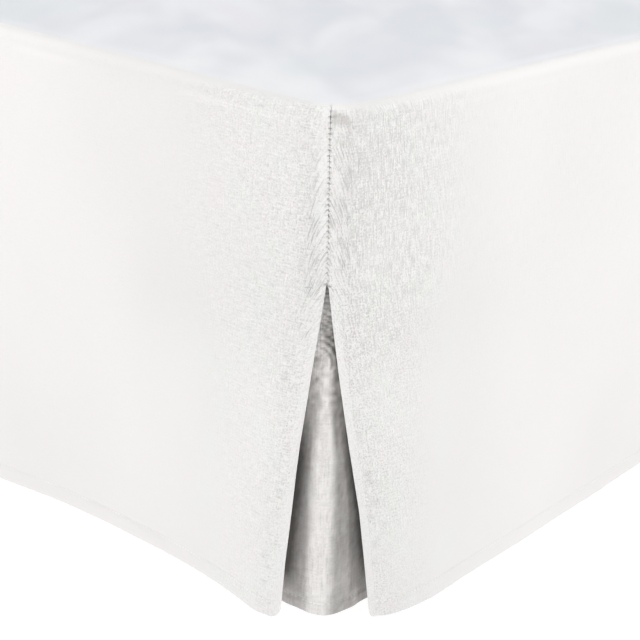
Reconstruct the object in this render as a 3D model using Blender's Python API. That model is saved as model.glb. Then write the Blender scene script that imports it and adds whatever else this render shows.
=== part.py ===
# Tailored bed skirt with split foot corners, hanging from the top of a box spring on a plain wooden frame.
# X runs across the bed, +Y towards its head, +Z up, with the legs on the floor at z = 0.
import math

import bmesh
import bpy
import numpy as np

mm = 0.001

# the bed base
bedWidth = 1524 * mm
bedLength = 2032 * mm
springTop = 377 * mm
springDepth = 229 * mm
springCorner = 35 * mm          # rounding in plan
springEdge = 5 * mm             # rounding of the top and bottom edges
railWidth = 38 * mm
railDepth = 58 * mm
railInset = 30 * mm             # from the box spring's sides
railEdge = 3 * mm
legRadius = 22 * mm
legEdge = 2 * mm
legInset = 70 * mm              # of the end legs from the rail ends
contactGap = 0.3 * mm           # between pieces that rest on each other

# the cloth
panelThickness = 1.8 * mm
underlayThickness = 1.4 * mm
deckThickness = 1.2 * mm
panelOffset = 4.7 * mm          # from the box spring's side to the middle of the panel cloth
underlayOffset = 2.7 * mm
seamInset = 6 * mm              # of the seam between panel and deck, inside the box spring's side
seamLip = 2 * mm                # the panel lies flat for this much before the seam
deckRise = 2 * mm               # the deck lifts by this to meet the panels
deckRiseWidth = 28 * mm
hemHeight = 6 * mm              # of the panel hems above the floor
underlayHemHeight = 8.5 * mm
underlayTop = springTop - 10 * mm
underlayReach = 150 * mm        # of each wing from the middle of the corner
sideEnd = bedLength - 40 * mm   # the side panels and the deck stop short of the head
footReach = 32 * mm             # how far the foot panel swings out past the box spring

# the split corner
seamTurn = math.radians(5.2)    # the seam sits this far round the corner, towards the foot
seamShare = 0.30                # of the drop is sewn shut, and the slit opens below it
flapCorner = 7 * mm             # rounding of the foot panel's bottom corners
slitSpread = 120 * mm           # how far the opening of the slit bends the panel beside it
pullSpread = 450 * mm           # how far the flaps' sideways pull reaches along the hem
swing = 1.15                    # power with which a panel leaves the vertical

# edges of the slit at a share of the drop: distance along each panel from the box spring's sharp
# corner, and distance out from its side, in mm. Above seamShare the two edges are one seam.
slitShare = (0, 0.15, 0.30, 0.37, 0.50, 0.64, 0.77, 0.90, 1.0)
footSlit = {"along": (9.6, 7.6, 5.6, 10.0, 14.6, 18.6, 21.2, 21.9, 21.8),
            "out": (-4.5, -2.5, -0.5, 1.1, 4.5, 8.4, 12.5, 17.0, 20.0)}
sideSlit = {"along": (4.5, 2.5, 0.5, 6.0, 11.4, 17.5, 22.4, 25.6, 28.0),
            "out": (-9.6, -7.6, -5.6, -3.7, 0.6, 5.5, 10.7, 16.0, 20.0)}

# hem lines: (distance along the panel, distance out from the box spring's side), in mm.
# The foot panel has one for each half, measured from its own corner to the middle.
footHemRight = ((21.8, 20), (43, 24), (61, 21.5), (98, 17), (134, 15), (180, 14), (241, 16), (276, 19),
                (310, 24), (343, 29), (400, 31), (520, 24), (700, 13), (762, 12))
footHemLeft = ((21.8, 20), (44, 25), (84, 21), (174, 18), (374, 14), (580, 12), (700, 12), (762, 12))
sideHemRight = ((28, 20), (42, 28), (50, 30), (81, 33), (119, 30), (180, 26), (245, 21), (313, 17),
                (366, 11.5), (391, 9.5), (470, 8), (700, 12), (1000, 9), (1400, 13), (1700, 9), (1992, 8))
sideHemLeft = ((28, 20), (45, 27), (78, 33), (130, 29), (220, 21), (330, 14), (450, 10), (750, 8),
               (1050, 12), (1450, 9), (1992, 9))

# the underlay
underlayCorner = 37.7 * mm      # its rounding at the top, and at the hem
underlayHemCorner = 16 * mm
# soft folds down it: (distance from the middle of the corner, half width, depth), in mm
underlayFolds = ((-86, 15, 1.4), (-34, 11, 1.6), (24, 8, 1.8), (47, 9, 1.2), (88, 14, 1.5))

# how finely the sheets are divided
firstColumn = 5 * mm
columnGrowth = 1.32
widestColumn = 125 * mm
rollSteps = 3
sewnRows = 4
openRows = 10
roundSteps = 7

rollRadius = panelOffset + seamInset - seamLip
rollHeight = springTop + 2 * mm + panelThickness / 2 - rollRadius
bedCentre = np.array([0, footReach / 2])

whiteCloth = ("white cloth", (0.87, 0.87, 0.86), 0.9)
deckCloth = ("pale blue deck cloth", (0.78, 0.81, 0.86), 0.9)
springCloth = ("box spring cover", (0.66, 0.64, 0.60), 0.85)
plainWood = ("plain wood", (0.55, 0.38, 0.22), 0.6)


def clearScene():
    for item in list(bpy.data.objects):
        bpy.data.objects.remove(item, do_unlink=True)


def material(look):
    name, colour, roughness = look
    made = bpy.data.materials.get(name)
    if made is None:
        made = bpy.data.materials.new(name)
        made.use_nodes = True
        shader = made.node_tree.nodes["Principled BSDF"]
        shader.inputs["Base Color"].default_value = (*colour, 1)
        shader.inputs["Roughness"].default_value = roughness
        shader.inputs["Metallic"].default_value = 0
    return made


def addObject(name, mesh, look, place=(0, 0, 0)):
    mesh.materials.append(material(look))
    piece = bpy.data.objects.new(name, mesh)
    piece.location = place
    bpy.context.collection.objects.link(piece)
    return piece


def addShape(name, shape, look, place):
    # takes over a bmesh
    mesh = bpy.data.meshes.new(name)
    shape.to_mesh(mesh)
    shape.free()
    return addObject(name, mesh, look, place)


def roundEdges(piece, width, segments):
    piece.data.shade_smooth()
    piece.data.set_sharp_from_angle(angle=math.radians(40))
    bevel = piece.modifiers.new("edge rounding", "BEVEL")
    bevel.width = width
    bevel.segments = segments
    bevel.limit_method = "ANGLE"
    bevel.angle_limit = math.radians(40)


def addSheet(name, points, thickness, look):
    # points: rows by columns by xyz, of the middle of the cloth
    rows, columns = points.shape[:2]
    index = np.arange(rows * columns).reshape(rows, columns)
    corners = (index[:-1, :-1], index[:-1, 1:], index[1:, 1:], index[1:, :-1])
    faces = np.stack(corners, axis=-1).reshape(-1, 4)
    mesh = bpy.data.meshes.new(name)
    mesh.from_pydata(points.reshape(-1, 3).tolist(), [], faces.tolist())
    mesh.shade_smooth()
    piece = addObject(name, mesh, look)
    solidify = piece.modifiers.new("cloth thickness", "SOLIDIFY")
    solidify.thickness = thickness
    solidify.offset = 0
    solidify.use_even_offset = True


def smoothCurve(xs, ys, x):
    # a cubic through the points, with the slope at each point taken from its two neighbours
    slopes = np.gradient(ys, xs)
    x = np.clip(x, xs[0], xs[-1])
    left = np.clip(np.searchsorted(xs, x, side="right") - 1, 0, len(xs) - 2)
    width = xs[left + 1] - xs[left]
    f = (x - xs[left]) / width
    rise = (2 * f**3 - 3 * f**2 + 1) * ys[left] + (3 * f**2 - 2 * f**3) * ys[left + 1]
    lean = (f**3 - 2 * f**2 + f) * slopes[left] + (f**3 - f**2) * slopes[left + 1]
    return rise + lean * width


def ease(f):
    f = np.clip(f, 0, 1)
    return f * f * (3 - 2 * f)


def columnRuns(reach):
    # distances from a slit, narrow columns first and wider ones away from it
    runs = [0.0]
    step = firstColumn
    while runs[-1] < reach:
        runs.append(runs[-1] + step)
        step = min(step * columnGrowth, widestColumn)
    return np.array(runs) * reach / runs[-1]


def aroundCorner(run, turn, offset):
    # plan place at a distance along the top from the seam: (along the panel, out from the side)
    arcRun = (springCorner + panelOffset) * turn
    angle = turn * np.clip(1 - run / arcRun, 0, 1)
    along = springCorner - (springCorner + offset) * np.sin(angle) + np.maximum(run - arcRun, 0)
    out = -springCorner + (springCorner + offset) * np.cos(angle)
    return along, out


def panelFrom(slit, hem, turn, end, cornerRound):
    # the drop from a slit to a distance along the bed, as rows by columns of (along, out, up)
    arcRun = (springCorner + panelOffset) * turn
    runs = contactGap + columnRuns(arcRun + end - springCorner - contactGap)
    share = np.concatenate([np.linspace(0, seamShare, sewnRows, endpoint=False),
                            np.linspace(seamShare, 1, openRows)])[:, None]
    hemAlong, hemOut = np.array(hem).T * mm

    topAlong, topOut = aroundCorner(runs, turn, panelOffset)
    pull = slit["along"][-1] * mm - topAlong[0]
    lowAlong = topAlong + pull * (1 - ease(runs / pullSpread))
    lowOut = smoothCurve(hemAlong, hemOut, lowAlong)
    along = topAlong + (lowAlong - topAlong) * share
    out = topOut + (lowOut - topOut) * share**swing

    # the edge follows the slit, and the panel beside it eases towards it
    near = 1 - ease(runs / slitSpread)
    edgeAlong = np.interp(share, slitShare, slit["along"]) * mm + contactGap
    edgeOut = np.interp(share, slitShare, slit["out"]) * mm
    along = along + (edgeAlong - along[:, :1]) * near
    out = out + (edgeOut - out[:, :1]) * near

    fromRound = np.clip(1 - runs / cornerRound, 0, 1)
    hemUp = hemHeight + cornerRound * (1 - np.sqrt(1 - fromRound**2))
    up = rollHeight + (hemUp - rollHeight) * share
    drop = np.stack([along, out, up], axis=-1)

    # above the drop the cloth rolls over the box spring's edge to the seam with the deck
    profile = [(-seamInset, rollHeight + rollRadius)]
    for angle in np.linspace(math.pi / 2, 0, rollSteps, endpoint=False):
        profile.append((seamLip - seamInset + rollRadius * math.cos(angle),
                        rollHeight + rollRadius * math.sin(angle)))
    roll = np.empty((len(profile), len(runs), 3))
    for row, (rollOut, rollUp) in enumerate(profile):
        roll[row, :, 0], roll[row, :, 1] = aroundCorner(runs, turn, rollOut)
        roll[row, :, 2] = rollUp
    return np.concatenate([roll, drop])


def placed(local, side, alongWay, outWay):
    # from (along, out, up) at a foot corner of the box spring to the model's own axes
    corner = np.array([side * bedWidth / 2, -bedLength / 2]) + bedCentre
    flat = corner + local[..., 0:1] * np.array(alongWay) + local[..., 1:2] * np.array(outWay)
    return np.concatenate([flat, local[..., 2:3]], axis=-1)


def footPanel():
    turn = math.pi / 4 - seamTurn
    right = panelFrom(footSlit, footHemRight, turn, bedWidth / 2, flapCorner)
    left = panelFrom(footSlit, footHemLeft, turn, bedWidth / 2, flapCorner)
    right = placed(right, 1, (-1, 0), (0, -1))
    left = placed(left, -1, (1, 0), (0, -1))
    points = np.concatenate([right, left[:, -2::-1]], axis=1)
    addSheet("foot_panel", points, panelThickness, whiteCloth)


def sidePanel(name, hem, side):
    turn = math.pi / 4 + seamTurn
    local = panelFrom(sideSlit, hem, turn, sideEnd, firstColumn / 2)
    addSheet(name, placed(local, side, (0, 1), (side, 0)), panelThickness, whiteCloth)


def pleatUnderlay(name, side):
    wing = columnRuns(underlayReach)
    runs = np.concatenate([-wing[:0:-1], wing])
    share = np.linspace(0, 1, openRows)[:, None]
    radius = underlayCorner + (underlayHemCorner - underlayCorner) * ease((share - 0.15) / 0.85)
    arc = radius * math.pi / 4
    angle = math.pi / 4 * (1 - np.clip(runs / arc, -1, 1))
    folds = sum(depth * np.exp(-((runs / mm - middle) / halfWidth) ** 2)
                for middle, halfWidth, depth in underlayFolds)
    reach = radius + folds * mm * share
    centre = underlayOffset - radius
    # positive runs lie towards the bed's side, negative runs towards its foot
    outSide = centre + reach * np.cos(angle) - np.maximum(-runs - arc, 0)
    outFoot = centre + reach * np.sin(angle) - np.maximum(runs - arc, 0)
    up = np.broadcast_to(underlayTop + (underlayHemHeight - underlayTop) * share, outSide.shape)
    local = np.stack([-outFoot, outSide, up], axis=-1)
    addSheet(name, placed(local, side, (0, 1), (side, 0)), underlayThickness, whiteCloth)


def deck():
    # rows run from the foot seam to the head, columns from side seam to side seam
    inset = seamInset + contactGap
    halfWidth = bedWidth / 2 - inset
    corner = springCorner - inset
    rounded = corner * (1 - np.cos(np.linspace(0, math.pi / 2, roundSteps)))
    fromFoot = np.concatenate([rounded, np.linspace(2 * corner, sideEnd - inset, 5)])[:, None]
    narrowing = corner - np.sqrt(corner**2 - np.clip(corner - fromFoot, 0, corner) ** 2)
    rim = 1 - deckRiseWidth * np.linspace(0, 1, 5) / halfWidth
    x = (halfWidth - narrowing) * np.concatenate([-rim, [-0.5, 0, 0.5], rim[::-1]])
    fromSeam = np.minimum(halfWidth - narrowing - np.abs(x), fromFoot)
    up = springTop + contactGap + deckThickness / 2 + deckRise * (1 - ease(fromSeam / deckRiseWidth))
    y = np.broadcast_to(inset - bedLength / 2 + fromFoot, x.shape)
    points = np.stack([x + bedCentre[0], y + bedCentre[1], up], axis=-1)
    addSheet("deck", points, deckThickness, deckCloth)


def blockShape(size):
    shape = bmesh.new()
    bmesh.ops.create_cube(shape, size=1)
    bmesh.ops.scale(shape, vec=size, verts=shape.verts)
    return shape


def boxSpring():
    shape = blockShape((bedWidth, bedLength, springDepth))
    upright = [edge for edge in shape.edges if abs(edge.verts[0].co.z - edge.verts[1].co.z) > springDepth / 2]
    bmesh.ops.bevel(shape, geom=upright, offset=springCorner, segments=roundSteps, profile=0.5,
                    affect="EDGES")
    piece = addShape("box_spring", shape, springCloth, (*bedCentre, springTop - springDepth / 2))
    roundEdges(piece, springEdge, 3)


def rail(name, centre, size):
    roundEdges(addShape(name, blockShape(size), plainWood, centre), railEdge, 2)


def leg(name, x, y, height):
    shape = bmesh.new()
    bmesh.ops.create_cone(shape, cap_ends=True, segments=24, radius1=legRadius, radius2=legRadius,
                          depth=height)
    roundEdges(addShape(name, shape, plainWood, (x, y, height / 2)), legEdge, 2)


def frame():
    middleX, middleY = bedCentre
    railLength = bedLength - 2 * railInset
    sideAt = bedWidth / 2 - railInset - railWidth / 2
    crossAt = railLength / 2 - railWidth / 2
    crossLength = 2 * (sideAt - railWidth / 2 - contactGap)
    legAt = railLength / 2 - legInset
    railUp = springTop - springDepth - contactGap - railDepth / 2
    legHeight = railUp - railDepth / 2 - contactGap
    for end, place in (("foot", -1), ("middle", 0), ("head", 1)):
        centre = (middleX, middleY + place * crossAt, railUp)
        rail("cross_rail_" + end, centre, (crossLength, railWidth, railDepth))
        for name, side in (("right", 1), ("left", -1)):
            leg("leg_" + end + "_" + name, middleX + side * sideAt, middleY + place * legAt, legHeight)
    leg("leg_centre", middleX, middleY, legHeight)
    for name, side in (("right", 1), ("left", -1)):
        centre = (middleX + side * sideAt, middleY, railUp)
        rail("side_rail_" + name, centre, (railWidth, railLength, railDepth))


clearScene()
boxSpring()
frame()
deck()
footPanel()
sidePanel("side_panel_right", sideHemRight, 1)
sidePanel("side_panel_left", sideHemLeft, -1)
pleatUnderlay("pleat_underlay_right", 1)
pleatUnderlay("pleat_underlay_left", -1)
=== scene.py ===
import math

import bmesh
import bpy
import numpy as np
from mathutils import Matrix


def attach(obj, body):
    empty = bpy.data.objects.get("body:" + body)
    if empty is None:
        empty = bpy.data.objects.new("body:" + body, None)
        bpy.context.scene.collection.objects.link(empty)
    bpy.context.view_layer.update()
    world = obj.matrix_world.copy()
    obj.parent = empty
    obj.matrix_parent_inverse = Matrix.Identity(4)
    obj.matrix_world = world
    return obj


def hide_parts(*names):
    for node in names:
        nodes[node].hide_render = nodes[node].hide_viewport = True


# Finished look of a bed skirt with split foot corners on its box spring. Metres, +Y to the head, +Z up.

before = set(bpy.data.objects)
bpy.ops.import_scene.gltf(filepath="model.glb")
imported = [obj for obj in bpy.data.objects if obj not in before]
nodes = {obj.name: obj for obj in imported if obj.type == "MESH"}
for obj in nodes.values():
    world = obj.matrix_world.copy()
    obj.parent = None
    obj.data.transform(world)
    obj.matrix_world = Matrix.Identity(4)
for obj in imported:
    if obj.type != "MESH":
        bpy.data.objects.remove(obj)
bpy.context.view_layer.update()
scene = bpy.context.scene
mm = 0.001
print("frame loaded")


# The bed's sizes, and helpers that the pieces share

bed = {
    "width": 1524 * mm, "length": 2032 * mm, "middleY": 16 * mm,
    "top": 377 * mm, "depth": 229 * mm,
    "corner": 35 * mm,  # rounding in plan
}


def ease(f):
    # smooth step, 3f^2 - 2f^3
    f = np.clip(f, 0, 1)
    return f * f * (3 - 2 * f)


def hump(x, middle, width):
    # bell curve, e^(-(distance / width)^2)
    return np.exp(-((x - middle) / width) ** 2)


def smoothCurve(xs, ys, x):
    # a cubic through the points, with each slope taken from the neighbours
    xs, ys = np.asarray(xs, float), np.asarray(ys, float)
    slopes = np.gradient(ys, xs)
    x = np.clip(x, xs[0], xs[-1])
    left = np.clip(np.searchsorted(xs, x, side="right") - 1, 0, len(xs) - 2)
    width = xs[left + 1] - xs[left]
    f = (x - xs[left]) / width
    rise = (2 * f**3 - 3 * f**2 + 1) * ys[left] + (3 * f**2 - 2 * f**3) * ys[left + 1]
    lean = (f**3 - 2 * f**2 + f) * slopes[left] + (f**3 - f**2) * slopes[left + 1]
    return rise + lean * width


def scattered(ix, iy, seed):
    # a fixed number from -1 to 1 for each whole-number place, mixed from its bits
    mixed = (ix * 374761393 + iy * 668265263 + seed * 1442695041) & 0xFFFFFFFF
    mixed = ((mixed ^ (mixed >> 13)) * 1274126177) & 0xFFFFFFFF
    return ((mixed ^ (mixed >> 16)) & 0xFFFF) / 32767.5 - 1


def uneven(x, y, seed):
    # from -1 to 1: the scattered numbers of the four whole places round it, eased together
    x, y = np.broadcast_arrays(x, y)
    ix, iy = np.floor(x).astype(np.int64), np.floor(y).astype(np.int64)
    fx, fy = ease(x - ix), ease(y - iy)
    low = scattered(ix, iy, seed) * (1 - fx) + scattered(ix + 1, iy, seed) * fx
    high = scattered(ix, iy + 1, seed) * (1 - fx) + scattered(ix + 1, iy + 1, seed) * fx
    return low * (1 - fy) + high * fy


def steps(reach, first, growth, widest):
    # distances from an edge: the first step, then each wider than the last up to the widest
    places, step = [0.0], first
    while places[-1] < reach:
        places.append(places[-1] + step)
        step = min(step * growth, widest)
    return np.array(places) * reach / places[-1]


def unit(vectors):
    return vectors / np.maximum(np.linalg.norm(vectors, axis=-1, keepdims=True), 1e-12)


def outwards(points):
    # unit normals of a grid of points, from the cross product of its two directions
    return unit(np.cross(np.gradient(points, axis=0), np.gradient(points, axis=1)))


def gridIndex(rows, columns, closed=False):
    # numbers of a grid's points; a closed grid has its first column again at the end
    index = np.arange(rows * columns).reshape(rows, columns)
    return np.concatenate([index, index[:, :1]], axis=1) if closed else index


def gridFaces(index, flip=False):
    corners = [index[:-1, :-1], index[:-1, 1:], index[1:, 1:], index[1:, :-1]]
    return np.stack(corners[::-1] if flip else corners, axis=-1).reshape(-1, 4)


def withSettings(item, **settings):
    for key, value in settings.items():
        setattr(item, key, value)
    return item


def addObject(name, data):
    item = bpy.data.objects.new(name, data)
    scene.collection.objects.link(item)
    return item


def addMesh(name, points, faces, finish, smooth=True):
    mesh = bpy.data.meshes.new(name)
    mesh.from_pydata(points.reshape(-1, 3).tolist(), [], faces)
    mesh.materials.append(finish)
    if smooth:
        mesh.shade_smooth()
    return addObject(name, mesh)


def addCloth(name, points, cloth, fields, thickness, finish, flip=False):
    # grids of the cloth's middle, of its place on the flat cloth, and of what else the material reads
    rows, columns = points.shape[:2]
    faces = gridFaces(gridIndex(rows, columns), flip)
    piece = addMesh(name, points, faces.tolist(), finish)
    layer = piece.data.uv_layers.new(name="cloth")
    layer.data.foreach_set("uv", cloth.reshape(-1, 2)[faces.ravel()].astype(np.float32).ravel())
    for field, values in fields.items():
        made = piece.data.attributes.new(field, "FLOAT", "POINT")
        made.data.foreach_set("value", np.broadcast_to(values, (rows, columns)).astype(np.float32).ravel())
    withSettings(piece.modifiers.new("cloth thickness", "SOLIDIFY"), thickness=thickness, offset=0,
                 use_even_offset=True)
    withSettings(piece.modifiers.new("folded edges", "BEVEL"), width=thickness * 0.35, segments=2,
                 limit_method="ANGLE", angle_limit=math.radians(60))
    return piece


# Materials

class Value:
    # an output of a node; sums, differences and products of it are new math nodes
    def __init__(self, socket):
        self.socket = socket

    def __add__(self, other):
        return mathNode("ADD", self, other)

    def __sub__(self, other):
        return mathNode("SUBTRACT", self, other)

    def __rsub__(self, other):
        return mathNode("SUBTRACT", other, self)

    def __mul__(self, other):
        return mathNode("MULTIPLY", self, other)


def feed(socket, value):
    if isinstance(value, Value):
        socket.id_data.links.new(value.socket, socket)
    else:
        socket.default_value = value


def addNode(tree, kind, values=None, output=0, **settings):
    # values: a value or a number for each named or numbered input
    made = withSettings(tree.nodes.new(kind), **settings)
    for place, value in (values or {}).items():
        feed(made.inputs[place], value)
    return Value(made.outputs[output])


def treeOf(*values):
    return next(value.socket.id_data for value in values if isinstance(value, Value))


def mathNode(operation, a, b=0.0):
    return addNode(treeOf(a, b), "ShaderNodeMath", {0: a, 1: b}, operation=operation)


def ranged(value, low, high, toLow=0.0, toHigh=1.0):
    # eased from "toLow" to "toHigh", and clamped
    return addNode(treeOf(value), "ShaderNodeMapRange", {0: value, 1: low, 2: high, 3: toLow, 4: toHigh},
                   interpolation_type="SMOOTHSTEP")


def within(value, reach, here=1.0, away=0.0):
    # "here" up to 0.4 of the reach, then eased to "away"
    return ranged(value, reach * 0.4, reach, here, away)


def noise(vector, scale, detail=2.0, roughness=0.5, distortion=0.0):
    # scale is a number for each axis of the vector
    placed = addNode(treeOf(vector), "ShaderNodeMapping", {"Vector": vector, "Scale": scale})
    return addNode(treeOf(vector), "ShaderNodeTexNoise", {
        "Vector": placed, "Scale": 1.0, "Detail": detail, "Roughness": roughness, "Distortion": distortion})


def fieldOf(tree, name):
    return addNode(tree, "ShaderNodeAttribute", output="Fac", attribute_name=name)


def mixColour(factor, a, b, blend="MIX"):
    # a and b: values, or red, green and blue
    a, b = (colour if isinstance(colour, Value) else (*colour, 1) for colour in (a, b))
    return addNode(treeOf(factor, a, b), "ShaderNodeMix", {0: factor, 6: a, 7: b}, output=2,
                   data_type="RGBA", blend_type=blend)


def startMaterial(name, roughness, specular=0.3, sheen=0.0):
    made = bpy.data.materials.new(name)
    made.use_nodes = True
    tree = made.node_tree
    shader = tree.nodes["Principled BSDF"]
    shader.inputs["Roughness"].default_value = roughness
    shader.inputs["Specular IOR Level"].default_value = specular
    shader.inputs["Sheen Weight"].default_value = sheen
    shader.inputs["Sheen Roughness"].default_value = 0.5
    return made, tree, shader


def endMaterial(shader, colour, height, distance, strength):
    # the colour, and a bump for relief too fine to model
    feed(shader.inputs["Base Color"], colour)
    bump = addNode(shader.id_data, "ShaderNodeBump", {"Height": height, "Distance": distance, "Strength": strength})
    feed(shader.inputs["Normal"], bump)


linen = {
    "light": (0.945, 0.930, 0.917), "dark": (0.70, 0.688, 0.674), "paintedShadeColour": (0.33, 0.305, 0.285),
    # the thread's colour, and the roll's tone painted as its highlight
    "thread": (0.97, 0.96, 0.95), "rim": (0.875, 0.875, 0.875),
    # streaks per metre, across the cloth and down it, and how much each shows
    "warp": (860, 100, 1), "weft": (70, 700, 1), "grain": (860, 760, 1),
    "warpShare": 0.98, "weftShare": 0.28, "grainShare": 0.85,
    "even": 0.62, "sparse": 10, "darker": 0.9,  # share of even threads, of single slubs, and of dark ones
    "contrast": 2.3, "bump": 0.9 * mm,
    # low down the streaks give way to flecks
    "lowWarp": 0.5, "lowGrain": 1.25, "streakHeights": (190 * mm, 265 * mm),
    # the puckers at the seam
    "slant": (440, 60, 1), "lean": 1.9, "curl": 60, "slantReach": 22 * mm, "slantShare": 1.7,
    # pressed flat away from the corner, and nearer to it low down
    "crisp": 40 * mm, "flat": 150 * mm, "flatShare": 0.1, "lowSpread": 0.9, "spreadHeights": (110 * mm, 300 * mm),
    # the weave shows less low down and at the hem, and more close to the seam
    "lowShare": 0.72, "lowHeights": (140 * mm, 240 * mm), "hemShare": 0.60, "hemHeights": (40 * mm, 120 * mm),
    "closeShare": 0.28, "closeReach": 30 * mm, "patches": (17, 15, 1), "patchShare": (0.75, 1.2),
    "edgeReach": (4 * mm, 9 * mm), "edgeShare": 0.5, "rimShare": 0.25,
    # share of the dark tone: everywhere, as painted shade round the corner, in clouds and at the hem
    "ground": 0.36, "cornerShade": 0.205, "lowCornerShade": 0.50, "cornerShadeStart": 30 * mm, "cornerShadeReach": 190 * mm,
    "cornerShadeEdge": (3 * mm, 24 * mm), "clouds": (7, 5, 1), "cloudy": 0.20, "hemTone": 0.02, "hemToneReach": 130 * mm,
    # faint tints in patches
    "pink": (1.0, 0.992, 0.995), "green": (0.988, 1.0, 0.996), "tints": (28, 24, 1),
    "tintReach": (50 * mm, 180 * mm), "tintShare": (1.2, 0.25),
    # stitches, and the width of the hems' thread
    "seamStitch": 3.7 * mm, "rungShare": 0.62, "rungReach": 1.8 * mm, "rungs": (260, 330, 1), "wander": (150, 150, 1),
    "hemStitch": 3.4 * mm, "hemBand": 12 * mm, "hemThread": 0.9 * mm, "hemShows": (30, 12, 1),
    "sideBand": 8 * mm, "sideThread": 0.6 * mm, "threadRise": 0.35,
}


def linenMaterial(name, look):
    made, tree, shader = startMaterial(name, 0.92, 0.2, 0.12)
    cloth = addNode(tree, "ShaderNodeUVMap", uv_map="cloth")
    u, v = (addNode(tree, "ShaderNodeSeparateXYZ", {0: cloth}, output=axis) for axis in (0, 1))
    fromSeam, fromHem, sewn, flap, pull, rim, shade = (
        fieldOf(tree, field) for field in ("fromSeam", "fromHem", "sewn", "flap", "pull", "rim", "shade"))

    def part(vector, kind, detail=1.5):
        # even threads from the noise about its middle, dark ones from its square and single slubs from its cube
        waves = noise(vector, look[kind], detail, 0.55, 0.4) - 0.5
        return waves * (waves * waves * look["sparse"] + look["even"] - waves * look["darker"]) * look[kind + "Share"]

    # plain weave: uneven threads both ways and a fine grain
    warp = part(cloth, "warp") * ranged(fromHem, *look["streakHeights"], look["lowWarp"], 1.0)
    grain = part(cloth, "grain", 1.0) * ranged(fromHem, *look["streakHeights"], look["lowGrain"], 1.0)
    weave = warp + part(cloth, "weft") + grain
    # puckers beside the seam, in the colour as painted shade and in the bump: stripes along v = lean run + curl run^2,
    # so they steepen away from it
    bent = v - fromSeam * (fromSeam * look["curl"] + look["lean"])
    swept = addNode(tree, "ShaderNodeCombineXYZ", {0: bent, 1: v})
    close = within(fromSeam, look["slantReach"]) * pull
    weave = weave * (1 - close * 0.3) + part(swept, "slant") * close
    lower = ranged(fromHem, *look["spreadHeights"], 1 + look["lowSpread"], 1.0)
    clear = ranged(fromSeam * lower, look["crisp"], look["flat"], 1.0, look["flatShare"])
    clear *= 1 - ranged(fromSeam, *look["edgeReach"], look["edgeShare"], 0.0) * (1 - pull)
    weave = weave * clear * ranged(noise(cloth, look["patches"], 2.0), 0.3, 0.7, *look["patchShare"])
    high = ranged(fromHem, *look["lowHeights"])
    weave *= ranged(high, 0.0, 1.0, look["lowShare"], 1.0)
    weave *= ranged(fromHem, *look["hemHeights"], look["hemShare"], 1.0)
    weave *= within(fromSeam, look["closeReach"], 1 + look["closeShare"], 1.0)
    weave *= ranged(rim, 0.0, 0.35, 1.0, look["rimShare"])

    # stitches: pinches across the seam, darkened as painted shade and sunk in the bump, and thread along the hems
    wander = noise(cloth, look["wander"], 0.0)
    seamBeat = mathNode("SINE", v * (math.tau / look["seamStitch"]) + wander * 0.8)
    pinch = ranged(seamBeat, 0.45, 0.95) * ranged(noise(cloth, look["rungs"], 0.0), 0.35, 0.65, 0.5, 1.0)
    pinch = pinch * ranged(fromSeam, look["rungReach"] * 0.5, look["rungReach"], look["rungShare"], 0.0) * sewn
    hemBeat = mathNode("SINE", u * (math.tau / look["hemStitch"]) + wander * 2.0)
    fromLine = mathNode("ABSOLUTE", fromHem - look["hemBand"])
    hemThread = ranged(hemBeat, -0.75, -0.3) * within(fromLine, look["hemThread"])
    sideBeat = mathNode("SINE", v * (math.tau / look["hemStitch"]))
    fromLine = mathNode("ABSOLUTE", fromSeam - look["sideBand"])
    sideThread = ranged(sideBeat, -0.75, -0.3) * within(fromLine, look["sideThread"])
    thread = mathNode("MAXIMUM", hemThread, sideThread * flap)

    # painted shade: the cloth darker round the corner, less so low down and not at the seam itself
    paintedShade = ranged(fromSeam, look["cornerShadeStart"], look["cornerShadeReach"], look["cornerShade"], 0.0)
    paintedShade = paintedShade * ranged(fromSeam, *look["cornerShadeEdge"]) * ranged(high, 0.0, 1.0, look["lowCornerShade"], 1.0)
    ground = paintedShade + look["ground"] + (noise(cloth, look["clouds"], 1.0) - 0.5) * look["cloudy"]
    ground += ranged(fromHem, 0.0, look["hemToneReach"], look["hemTone"], 0.0)
    colour = mixColour(ranged(ground - weave * look["contrast"], 0.0, 1.0), look["light"], look["dark"])
    tint = ranged(noise(cloth, look["tints"], 1.0), 0.45, 0.63)
    tint *= ranged(fromSeam, *look["tintReach"], *look["tintShare"])
    colour = mixColour(1.0, colour, mixColour(tint, look["pink"], look["green"]), "MULTIPLY")
    # painted highlight: the roll's smoother, even tone
    colour = mixColour(rim, colour, look["rim"])
    shows = ranged(noise(cloth, look["hemShows"], 1.0), 0.42, 0.62, 0.2, 0.9)  # the thread comes and goes
    colour = mixColour(thread * shows, colour, look["thread"])
    # painted shade: the seam's pinches and the shade that each piece carries
    colour = mixColour(mathNode("MAXIMUM", pinch, shade), colour, look["paintedShadeColour"])
    endMaterial(shader, colour, weave + thread * look["threadRise"] - pinch, look["bump"], 0.8)
    return made


whiteCloth = linenMaterial("white linen weave", linen)
crossCloth = linenMaterial("white linen weave crosswise", dict(
    linen, warp=(660, 130, 1), weft=(130, 660, 1), grain=(720, 760, 1),
    warpShare=0.38, weftShare=0.48, grainShare=0.68, even=0.45, sparse=16, darker=0.0, contrast=2.2,
    lowWarp=1.0, lowGrain=1.0, lean=0.6, curl=110, rungReach=2.0 * mm,
    crisp=15 * mm, flat=165 * mm, lowSpread=0.6, lowShare=0.85, hemShare=0.68, closeShare=0.45,
    ground=0.345, cornerShade=0.17, cornerShadeStart=60 * mm, cornerShadeReach=320 * mm))
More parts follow.
